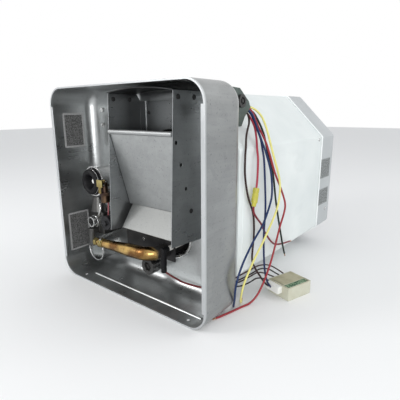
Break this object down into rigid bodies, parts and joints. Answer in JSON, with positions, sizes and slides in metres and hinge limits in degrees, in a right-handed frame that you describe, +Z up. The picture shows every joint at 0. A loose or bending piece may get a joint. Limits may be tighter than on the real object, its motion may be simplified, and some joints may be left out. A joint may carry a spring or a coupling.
{
  "type": "caravan water heater",
  "caption": "Storage water heater for a caravan: open galvanised control pan with gas burner and flue box, an octagonal jacketed tank behind it, loose leads and a control board.",
  "frame": {"origin": "centre of the footprint at floor level, without the loose leads and the control board", "axes": "+X right as seen from the open front, +Y from the open front to the water fittings at the back, +Z up"},
  "size_m": [0.3847, 0.487, 0.323],
  "materials": {
    "zinc": "galvanised",
    "bright_sheet": "bright",
    "jacket_paint": "satin",
    "foam": "foam",
    "brass": "worn",
    "black_steel": "heat resistant",
    "black_rubber": "matte",
    "black_plastic": "matte",
    "cast_alloy": "as cast",
    "white_plastic": "satin",
    "label": "blank film",
    "cream_plastic": "satin",
    "board_green": "laminate",
    "yellow_plastic": "satin",
    "brown_plastic": "satin",
    "red_plastic": "satin",
    "maroon_plastic": "satin",
    "blue_plastic": "satin",
    "dark_plastic": "satin"
  },
  "bodies": {
    "heater": {"control_pan": "zinc", "jacket_wrap": "jacket_paint", "rear_cap": "jacket_paint", "insulation": "foam", "tank_shell": "bright_sheet", "tank_front_head": "bright_sheet", "tank_rear_head": "bright_sheet", "combustion_tube": "bright_sheet", "flue_wrap": "zinc", "flue_top": "zinc", "flue_baffle": "zinc", "flue_deflector": "bright_sheet", "flue_rivets": "bright_sheet", "burner_head": "black_steel", "mixing_tube": "brass", "gas_spud": "brass", "burner_bracket": "black_steel", "igniter": "white_plastic", "igniter_boot": "black_rubber", "igniter_lead": "maroon_plastic", "gas_valve": "cast_alloy", "gas_inlet": "bright_sheet", "solenoid": "black_plastic", "valve_tube": "cast_alloy", "valve_lead": "red_plastic", "limit_collar": "bright_sheet", "limit_switch": "black_plastic", "limit_boot": "black_rubber", "relief_valve": "brass", "relief_pin": "bright_sheet", "relief_spring": "bright_sheet", "entry_sleeve": "bright_sheet", "drain_boss": "bright_sheet", "wall_plates": "label", "cap_stickers": "label", "screws": "bright_sheet", "water_fittings": "brass", "wiring_gusset": "zinc", "gusset_bushing": "black_rubber", "lead_grommets": "black_rubber", "lead_brown": "brown_plastic", "lead_red": "red_plastic", "lead_blue_a": "blue_plastic", "lead_blue_b": "blue_plastic", "lead_black": "dark_plastic", "lead_yellow": "yellow_plastic", "lead_maroon": "maroon_plastic", "inline_connector": "yellow_plastic", "board_tray": "cream_plastic", "circuit_board": "board_green", "board_plug": "white_plastic", "board_leads": "brown_plastic"},
    "lever": {"relief_lever": "brass"},
    "stem": {"relief_stem": "bright_sheet"},
    "shutter": {"air_shutter": "brass", "shutter_screw": "bright_sheet"},
    "button": {"reset_button": "white_plastic"},
    "drain": {"drain_plug": "black_steel", "anode_rod": "cast_alloy"}
  },
  "joints": [
    {"name": "lever_lift", "type": "hinge", "parent": "heater", "child": "lever", "pos_m": [-0.071, -0.2135, 0.174], "axis": [-1, 0, 0], "range_deg": [0, 90]},
    {"name": "stem_lift", "type": "slide", "parent": "heater", "child": "stem", "axis": [0, 0, 1], "range_m": [0, 0.0015], "deforming": ["relief_spring"]},
    {"name": "shutter_turn", "type": "hinge", "parent": "heater", "child": "shutter", "pos_m": [-0.1, -0.2095, 0.06], "axis": [0.9982, 0, 0.0593], "range_deg": [-20, 40]},
    {"name": "reset_press", "type": "slide", "parent": "heater", "child": "button", "axis": [0, 1, 0], "range_m": [0, 0.002], "stiffness_N_per_m": 400},
    {"name": "drain_pull", "type": "slide", "parent": "heater", "child": "drain", "axis": [0, -1, 0], "range_m": [0, 0.33]}
  ],
  "couplings": [
    {"joint": "stem_lift", "follows": "lever_lift", "m_per_rad": 0.00095}
  ]
}
